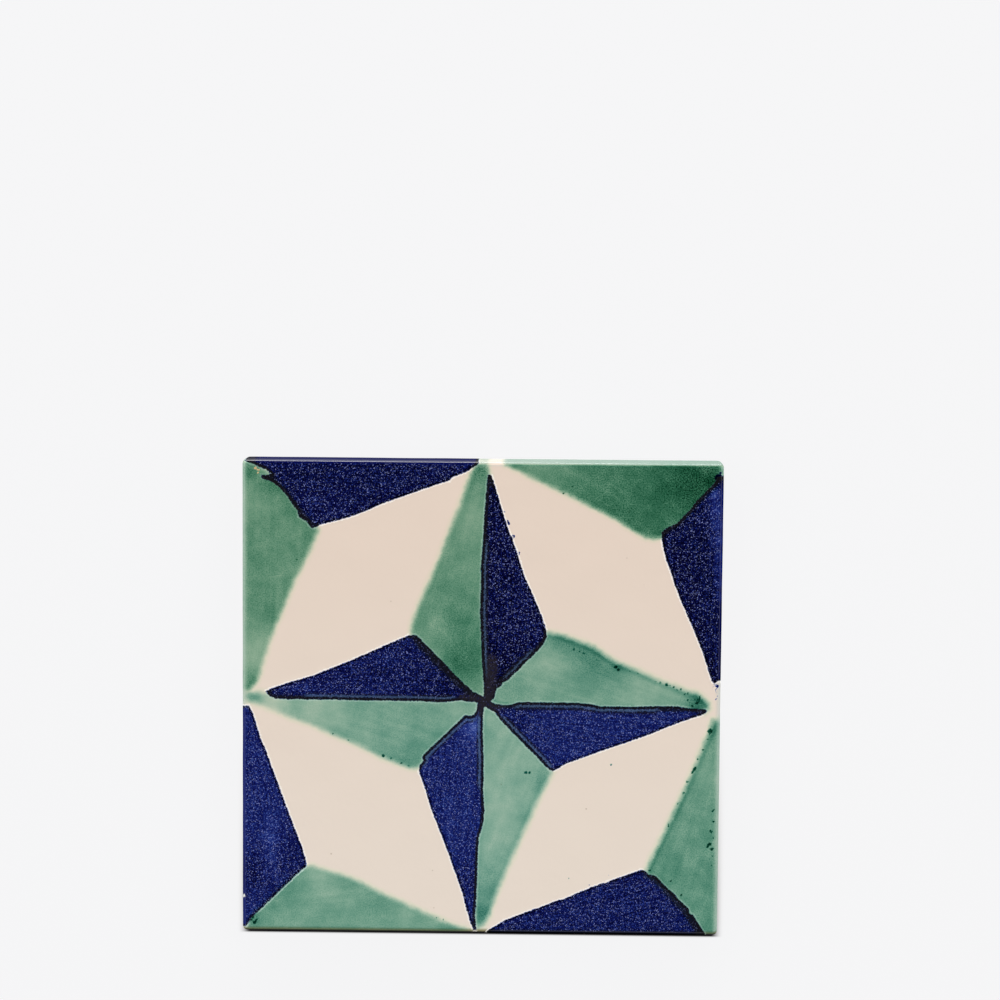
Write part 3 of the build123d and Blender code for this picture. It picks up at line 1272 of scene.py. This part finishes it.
@dataclass
class GlazedTile:
    """The tile: one closed mesh with its eased arris, drafted sides and keyed back. Sizes are in metres."""

    side: float
    thickness: float
    cells: int = 270
    arris_radius: float = 0.9 * MM
    arris_steps: int = 5
    corner_radius: float = 1.2 * MM
    land_depth: float = 2.6 * MM
    side_draft: float = math.radians(2)
    back_bevel: float = 0.6 * MM
    side_steps: int = 5
    keys_per_side: int = 6
    rim_width: float = 8.0 * MM
    rib_width: float = 3.0 * MM
    key_depth: float = 0.6 * MM
    key_draft: float = math.radians(35)
    key_corner_radius: float = 2.0 * MM
    key_corner_steps: int = 3
    smooth_angle: float = math.radians(40)
    same_place: float = 0.01 * MM
    same_key: float = 0.2 * MM

    # How high the glaze ends above the back: on the top side it runs past it
    glaze_foot: float = 4.2 * MM
    glaze_foot_top: float = -1.2 * MM
    top_side_depth: float = 0.7 * MM

    # The relief of the paint, the chips and the glaze's own slow waves
    paint_relief: float = 0.035 * MM
    green_share: float = 0.35
    chip_sink: float = 0.18 * MM
    weight_steps: int = 20
    ripple: float = 0.10 * MM
    ripple_size: float = 14 * MM
    blue_slope: float = 1.6 * MM
    green_slope: float = 2.4 * MM
    glaze_slope: float = 0.8 * MM
    chip_slope: float = 0.6 * MM

    # Shares of the map's width: the face low on the left, the back beside it and the sides above
    map_margin: float = 0.006
    map_face: float = 0.8
    map_back: float = 0.165
    map_back_start: float = 0.828
    map_strip: float = 0.985
    map_strip_start: float = 0.815
    map_strip_pitch: float = 0.046
    map_strip_height: float = 0.85
    map_back_rim: float = 5 * MM

    def build(self) -> bpy.types.Object:
        """Models the tile and writes the painted pattern into its attributes.

        Returns:
            The finished piece, its place in its mesh.
        """
        self._lay_face()
        self._round_corners()
        self._draw_edges()
        self._key_back()
        bpy.ops.object.mode_set(mode="OBJECT")
        tile = bpy.context.object
        self._paint(tile)
        self._raise_glaze(tile)
        bpy.ops.object.shade_smooth_by_angle(angle=self.smooth_angle)
        self._unfold(tile)
        return tile

    @property
    def flat_half(self) -> float:
        """Half the side of the flat part of the face."""
        return self.side / 2 - self.arris_radius

    def _lay_face(self) -> None:
        """Adds the face as a fine grid and opens it for shaping."""
        bpy.ops.object.select_all(action="DESELECT")
        bpy.ops.mesh.primitive_grid_add(
            x_subdivisions=self.cells,
            y_subdivisions=self.cells,
            size=2 * self.flat_half,
            location=(0, 0, self.thickness),
        )
        piece = bpy.context.object
        piece.name = "glazed_tile"
        piece.data.name = "glazed_tile"
        bpy.ops.object.transform_apply(location=True, rotation=True, scale=True)
        bpy.ops.object.mode_set(mode="EDIT")
        bpy.ops.mesh.select_mode(type="VERT")

    def _round_corners(self) -> None:
        """Moves the points near each corner of the face inwards, onto the corner's arc."""
        radius = self.corner_radius
        cell = 2 * self.flat_half / self.cells
        half = self.flat_half
        reach = int(radius / cell)
        for sign_x in (-1, 1):
            for sign_y in (-1, 1):
                corner = Vector((sign_x * half, sign_y * half, self.thickness))
                diagonal = radius * (1 - math.sqrt(0.5))
                self._nudge(corner, (-sign_x * diagonal, -sign_y * diagonal, 0))
                for step in range(1, reach + 1):
                    away = step * cell
                    inset = radius - math.sqrt(radius**2 - (radius - away) ** 2)
                    self._nudge(corner - Vector((sign_x * away, 0, 0)), (0, -sign_y * inset, 0))
                    self._nudge(corner - Vector((0, sign_y * away, 0)), (-sign_x * inset, 0, 0))

    def _nudge(self, place: Vector, shift: tuple[float, float, float]) -> None:
        """Moves the one point at a place."""
        self._select(lambda point: (point - place).length < self.same_place)
        bpy.ops.transform.translate(value=shift)

    def _select(self, wanted: Any) -> None:
        """Selects the points that a test picks, and nothing else.

        Args:
            wanted: A test of a point's place.
        """
        bpy.ops.mesh.select_all(action="DESELECT")
        shape = bmesh.from_edit_mesh(bpy.context.object.data)
        for vertex in shape.verts:
            if wanted(vertex.co):
                vertex.select = True
        shape.select_flush_mode()
        bmesh.update_edit_mesh(bpy.context.object.data)

    def _profile(self) -> list[tuple[float, float]]:
        """Lists the section of the edge, from the face down to the back.

        Returns:
            Pairs of half width and height.
        """
        half, radius = self.side / 2, self.arris_radius
        rings = []
        for step in range(1, self.arris_steps + 1):
            turn = math.radians(90) * step / self.arris_steps
            width = half - radius + radius * math.sin(turn)
            rings.append((width, self.thickness - radius * (1 - math.cos(turn))))
        land_foot = self.thickness - self.land_depth
        rings.append((half, (self.thickness - radius + land_foot) / 2))
        rings.append((half, land_foot))
        for step in range(1, self.side_steps + 1):
            height = land_foot + (self.back_bevel - land_foot) * step / self.side_steps
            rings.append((half - (land_foot - height) * math.tan(self.side_draft), height))
        rings.append((half - land_foot * math.tan(self.side_draft) - self.back_bevel, 0.0))
        return rings

    def _draw_edges(self) -> None:
        """Extrudes the face's border ring by ring: round the arris, down the land and the drafted side."""
        bpy.ops.mesh.select_all(action="SELECT")
        bpy.ops.mesh.region_to_loop()
        width, height = self.flat_half, self.thickness
        for ring_width, ring_height in self._profile():
            bpy.ops.mesh.extrude_edges_move(
                MESH_OT_extrude_edges_indiv={},
                TRANSFORM_OT_translate={"value": (0, 0, ring_height - height)},
            )
            grow = ring_width / width
            bpy.ops.transform.resize(value=(grow, grow, 1), center_override=(0, 0, ring_height))
            width, height = ring_width, ring_height
        bpy.ops.mesh.edge_face_add()

    def _key_back(self) -> None:
        """Cuts the back into its rim, ribs and keys, and sinks the keys with drafted walls."""
        bpy.ops.mesh.select_mode(type="FACE")
        bpy.ops.mesh.hide(unselected=True)
        back_half = self._profile()[-1][0]
        keyed_half = back_half - self.rim_width
        key_side = (2 * keyed_half - (self.keys_per_side - 1) * self.rib_width) / self.keys_per_side
        pitch = key_side + self.rib_width
        starts = [-keyed_half + number * pitch for number in range(self.keys_per_side)]
        for start in starts:
            for line in (start, start + key_side):
                for normal in ((1, 0, 0), (0, 1, 0)):
                    bpy.ops.mesh.select_all(action="SELECT")
                    bpy.ops.mesh.bisect(plane_co=tuple(line * axis for axis in normal), plane_no=normal)
        bpy.ops.mesh.select_all(action="DESELECT")
        shape = bmesh.from_edit_mesh(bpy.context.object.data)
        middles = [start + key_side / 2 for start in starts]
        for face in shape.faces:
            if face.hide:
                continue
            middle = face.calc_center_median()
            gaps = [min(abs(middle[axis] - centre) for centre in middles) for axis in (0, 1)]
            face.select = max(gaps) < self.same_key
        bmesh.update_edit_mesh(bpy.context.object.data)
        run = self.key_depth * math.tan(self.key_draft)
        bpy.ops.mesh.inset(thickness=run, depth=-self.key_depth, use_individual=True)
        bpy.ops.mesh.select_mode(type="EDGE")
        bpy.ops.mesh.select_all(action="DESELECT")
        shape = bmesh.from_edit_mesh(bpy.context.object.data)
        for edge in shape.edges:
            drop = abs(edge.verts[0].co.z - edge.verts[1].co.z)
            edge.select = not edge.hide and drop > 0.5 * self.key_depth
        bmesh.update_edit_mesh(bpy.context.object.data)
        bpy.ops.mesh.bevel(
            offset=self.key_corner_radius, segments=self.key_corner_steps, affect="EDGES"
        )
        bpy.ops.mesh.reveal(select=False)
        bpy.ops.mesh.select_all(action="SELECT")
        bpy.ops.mesh.normals_make_consistent(inside=False)

    def _paint(self, tile: bpy.types.Object) -> None:
        """Writes the star, the glaze's reach and the chips into the mesh's attributes.

        Args:
            tile: The modelled piece.
        """
        mesh = tile.data
        places = np.zeros(len(mesh.vertices) * 3)
        mesh.vertices.foreach_get("co", places)
        places = places.reshape(-1, 3) / MM
        sheet = StarPattern().lay(places[:, :2])
        for field in fields(sheet):
            values = getattr(sheet, field.name)
            kind, part = ("FLOAT", "value") if values.ndim == 1 else ("FLOAT_VECTOR", "vector")
            self._write(mesh, field.name, kind, part, values)
        self._write(mesh, "glaze", "FLOAT", "value", self._glaze_reach(places))
        self._write(mesh, "edge", "FLOAT", "value", np.abs(places[:, :2]).max(axis=1))
        self._write(mesh, "chips", "FLOAT", "value", self._chip_depth(places))

    def _chip_depth(self, places: np.ndarray) -> np.ndarray:
        """Measures how far places lie inside the nearest chip.

        Args:
            places: Places in mm, one to a row.

        Returns:
            The depth in mm, above 0 inside a chip.
        """
        depths = [
            chip.radius - np.linalg.norm(places - np.array([chip.x, chip.y, chip.z]), axis=1)
            for chip in CHIPS
        ]
        return np.maximum(np.max(depths, axis=0), CHIP_FAR)

    def _glaze_reach(self, places: np.ndarray) -> np.ndarray:
        """Measures how far above the lower edge of the glaze each place lies.

        Args:
            places: Places in mm, one to a row.

        Returns:
            Heights in mm, above 0 where the glaze covers the clay.
        """
        x, y, z = places.T
        along = np.where(np.abs(x) > np.abs(y), y + SIDE_SHIFT * np.sign(x), x)
        waves = sum(height * np.sin(along * rate + start) for height, rate, start in GLAZE_WAVES)
        top_side = y > (self.side / 2 - self.top_side_depth) / MM
        return z - np.where(top_side, self.glaze_foot_top, self.glaze_foot) / MM + waves

    def _write(self, mesh: bpy.types.Mesh, name: str, kind: str, part: str, values: np.ndarray) -> None:
        """Writes one attribute of the given data type, a value to a point."""
        attribute = mesh.attributes.new(name, kind, "POINT")
        attribute.data.foreach_set(part, values.astype(np.float32).ravel())

    def _raise_glaze(self, tile: bpy.types.Object) -> None:
        """Raises the painted fields a little, sinks the chips and lets the glaze's surface wave.

        Args:
            tile: The painted piece.
        """
        mesh = tile.data
        count = len(mesh.vertices)

        def read(name: str) -> np.ndarray:
            """Reads one of the mesh's attributes.

            Args:
                name: The attribute.

            Returns:
                Its values, one to a point.
            """
            values = np.zeros(count, np.float32)
            mesh.attributes[name].data.foreach_get("value", values)
            return values

        def slope(name: str, width: float) -> np.ndarray:
            """An attribute as a share, from 0 to 1 over a width in metres about its edge."""
            return np.clip(read(name) / (width / MM) + 0.5, 0, 1)

        glazed = slope("glaze", self.glaze_slope)
        washed = slope("green_depth", self.green_slope) * self.green_share
        painted = np.maximum(slope("blue_depth", self.blue_slope), washed)
        self._displace(tile, "paint", painted * (glazed > 0.5), self.paint_relief)
        self._displace(tile, "chip", slope("chips", self.chip_slope), -self.chip_sink)
        waves = bpy.data.textures.new("glaze waves", "CLOUDS")
        waves.noise_scale = self.ripple_size
        waves.noise_depth = 1
        self._displace(tile, "waves", glazed, self.ripple, waves)

    def _unfold(self, tile: bpy.types.Object) -> None:
        """Lays out the piece's own map: the face large, the sides in strips above and the back beside it.

        Args:
            tile: The finished piece.
        """
        mesh = tile.data
        places = np.zeros(len(mesh.vertices) * 3)
        mesh.vertices.foreach_get("co", places)
        corners = np.zeros(len(mesh.loops), int)
        mesh.loops.foreach_get("vertex_index", corners)
        places = places.reshape(-1, 3)[corners]
        shares = places[:, :2] / self.side + 0.5
        heights = places[:, 2] / self.thickness

        spread = np.zeros((len(mesh.loops), 2))
        for polygon in mesh.polygons:
            loops = slice(polygon.loop_start, polygon.loop_start + polygon.loop_total)
            normal, middle = polygon.normal, polygon.center
            reach = max(abs(middle.x), abs(middle.y))
            keyed = middle.z < self.thickness / 2 and reach < self.side / 2 - self.map_back_rim
            if normal.z > 0.5:
                spread[loops] = self.map_margin + self.map_face * shares[loops]
            elif keyed or normal.z < -0.5:
                mirrored = np.stack([1.0 - shares[loops, 0], shares[loops, 1]], axis=1)
                spread[loops] = (self.map_back_start, self.map_margin) + self.map_back * mirrored
            else:
                faces_x = abs(normal.x) > abs(normal.y)
                outward = normal.x if faces_x else -normal.y
                along = shares[loops, 1 if faces_x else 0]
                along = along if outward > 0 else 1.0 - along
                strip = (2 if faces_x else 0) + (1 if outward > 0 else 0)
                rise = strip + self.map_strip_height * heights[loops]
                spread[loops, 0] = self.map_margin + self.map_strip * along
                spread[loops, 1] = self.map_strip_start + self.map_strip_pitch * rise
        mesh.uv_layers.new(name=MAP_NAME).data.foreach_set("uv", spread.ravel())

    def _displace(
        self, tile: bpy.types.Object, name: str, weights: np.ndarray, strength: float, texture: Any = None
    ) -> None:
        """Moves the surface along its normals where weights say so, and applies the move.

        Args:
            tile: The piece.
            name: The name of the group of points that move.
            weights: How much each point moves, 0 to 1.
            strength: The full move in metres.
            texture: A texture that varies the move about its middle.
        """
        group = tile.vertex_groups.new(name=name)
        steps = np.round(weights * self.weight_steps).astype(int)
        for step in np.unique(steps[steps > 0]):
            group.add(np.flatnonzero(steps == step).tolist(), step / self.weight_steps, "REPLACE")
        move = tile.modifiers.new(name, "DISPLACE")
        move.vertex_group = name
        move.strength = strength
        move.mid_level = 0.5 if texture else 0.0
        if texture:
            move.texture = texture
            move.texture_coords = "LOCAL"
        bpy.ops.object.modifier_apply(modifier=name)


@dataclass(frozen=True)
class Lamp:
    """One soft lamp that faces the tile: its place and size in metres, its power in watts."""

    name: str
    place: tuple[float, float, float]
    size: tuple[float, float]
    power: float


@dataclass
class Studio:
    """A pale floor, soft lamps and the camera at the photograph's angle. Sizes are in metres."""

    face_height: float
    floor_size: float = 12.0
    floor_colour: Colour = linear(230, 230, 232)
    backdrop_colour: Colour = linear(246, 246, 247)
    backdrop_share: float = 0.95
    # Painted shadow: a near-black line on the floor along the tile's front edge, and where it lies in front
    # of the middle
    painted_shadow_colour: Colour = linear(14, 14, 15)
    shadow_line_near: float = 72.6 * MM
    shadow_line_far: float = 73.3 * MM
    shadow_line_fade: float = 4 * MM
    lamps: tuple[Lamp, ...] = (
        Lamp("left", (-1.2, 0.2, 0.9), (1.0, 1.0), 4.0),
        Lamp("right", (1.2, 0.2, 0.9), (1.0, 1.0), 4.0),
        Lamp("far", (0.0, 2.0, 0.45), (2.8, 0.85), 62.5),
    )

    # The room's light by height, from 0 level with the tile to 1 overhead
    room_light: float = 0.84
    dark_overhead: Span = (0.82, 0.94)
    low_room: Span = (0.0, 0.35)
    low_light: float = 0.25

    # The camera, whose turns and place fit the tile's corners in the photograph
    lens: float = 136.2
    tilt: float = math.radians(7.25)
    sway: float = math.radians(-0.85)
    roll: float = math.radians(-0.54)
    offset: tuple[float, float, float] = (-5.48 * MM, -58.3 * MM, -1108.1 * MM)

    def build(self) -> None:
        """Builds the floor, the lamps, the world and the camera."""
        self._floor()
        for lamp in self.lamps:
            self._hang(lamp)
        self._world()
        self._camera()

    def _floor(self) -> None:
        """Lays the pale floor, nearly even to the camera, with the tile's faint shadow and a painted shadow
        line in front.
        """
        bpy.ops.object.select_all(action="DESELECT")
        bpy.ops.mesh.primitive_plane_add(size=self.floor_size, location=(0, 0, 0))
        floor = bpy.context.object
        floor.name = "floor"
        bench = Bench(bpy.data.materials.new("pale floor"))
        shader = bench.tree.nodes["Principled BSDF"]
        shader.inputs["Roughness"].default_value = 0.9
        shader.inputs["Specular IOR Level"].default_value = 0.0
        seen = bench.node("ShaderNodeLightPath", {}, {}, "Is Camera Ray")
        for ray in ("Is Glossy Ray", "Is Transmission Ray"):
            seen = seen.or_more(bench.node("ShaderNodeLightPath", {}, {}, ray))
        glow = bench.node("ShaderNodeEmission", {}, {"Color": self.backdrop_colour})
        place = bench.node("ShaderNodeTexCoord", {}, {}, "Object")
        across = bench.node("ShaderNodeSeparateXYZ", {}, {"Vector": place}, "X")
        front = bench.node("ShaderNodeSeparateXYZ", {}, {"Vector": place}, "Y") * -1.0
        # Painted shadow: a thin dark line on the floor just in front of the tile, not brightened for the
        # camera
        painted_shadow = front.falls(self.shadow_line_near, self.shadow_line_far) * front.rises(0.0, self.shadow_line_near)
        sideways = across.or_more(across * -1.0)
        painted_shadow = painted_shadow * sideways.falls(self.shadow_line_near - self.shadow_line_fade, self.shadow_line_near)
        bench.join(bench.blend(self.floor_colour, self.painted_shadow_colour, painted_shadow), shader.inputs["Base Color"])
        parts = {0: seen * self.backdrop_share * (1.0 - painted_shadow), 1: shader.outputs[0], 2: glow}
        mixed = bench.node("ShaderNodeMixShader", {}, parts)
        bench.join(mixed, bench.tree.nodes["Material Output"].inputs["Surface"])
        floor.data.materials.append(bench.owner)

    def _hang(self, lamp: Lamp) -> None:
        """Hangs one lamp so that it faces the tile.

        Args:
            lamp: What hangs there.
        """
        bpy.ops.object.light_add(type="AREA", location=lamp.place)
        hung = bpy.context.object
        hung.name = f"{lamp.name} lamp"
        hung.data.shape = "RECTANGLE"
        hung.data.size, hung.data.size_y = lamp.size
        hung.data.energy = lamp.power
        hung.rotation_euler = (-Vector(lamp.place)).to_track_quat("-Z", "Y").to_euler()

    def _world(self) -> None:
        """Makes a white room, darker near the floor and dark above, so that the glaze mirrors little."""
        world = bpy.data.worlds.new("studio")
        bpy.context.scene.world = world
        bench = Bench(world)
        place = bench.node("ShaderNodeTexCoord", {}, {}, "Generated")
        height = bench.node("ShaderNodeSeparateXYZ", {}, {"Vector": place}, "Z")
        light = height.rises(*self.low_room) * (1.0 - self.low_light) + self.low_light
        light = height.falls(*self.dark_overhead) * light * self.room_light
        seen = bench.node("ShaderNodeLightPath", {}, {}, "Is Camera Ray")
        light = light * (1.0 - seen) + seen * self.backdrop_share
        background = bench.tree.nodes["Background"]
        background.inputs["Color"].default_value = (1, 1, 1, 1)
        bench.join(light, background.inputs["Strength"])

    def _camera(self) -> None:
        """Sets the camera where it sees the face as the photograph does."""
        roll = Matrix.Rotation(self.roll, 3, "Z")
        sway = Matrix.Rotation(self.sway, 3, "Y")
        tilt = Matrix.Rotation(self.tilt, 3, "X")
        back = (roll @ sway @ tilt).transposed()
        place = Vector((0, 0, self.face_height)) - back @ Vector(self.offset)
        bpy.ops.object.camera_add(location=place, rotation=back.to_euler())
        camera = bpy.context.object
        camera.data.lens = self.lens
        camera.data.sensor_width = 36
        camera.data.clip_start = 0.01
        bpy.context.scene.camera = camera


def main() -> None:
    """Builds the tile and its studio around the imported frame."""
    logging.basicConfig(level=logging.INFO, format="%(message)s")
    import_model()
    low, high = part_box(TILE_NODE)

    tile = GlazedTile(side=high.x - low.x, thickness=high.z - low.z).build()
    tile.data.materials.append(GlazedClay().make())
    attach(tile, "root")
    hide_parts(TILE_NODE)

    Studio(face_height=high.z).build()
    bpy.context.scene.view_settings.view_transform = "Standard"
    log.info("studio: floor, lamps and camera")


if __name__ == "__main__":
    main()
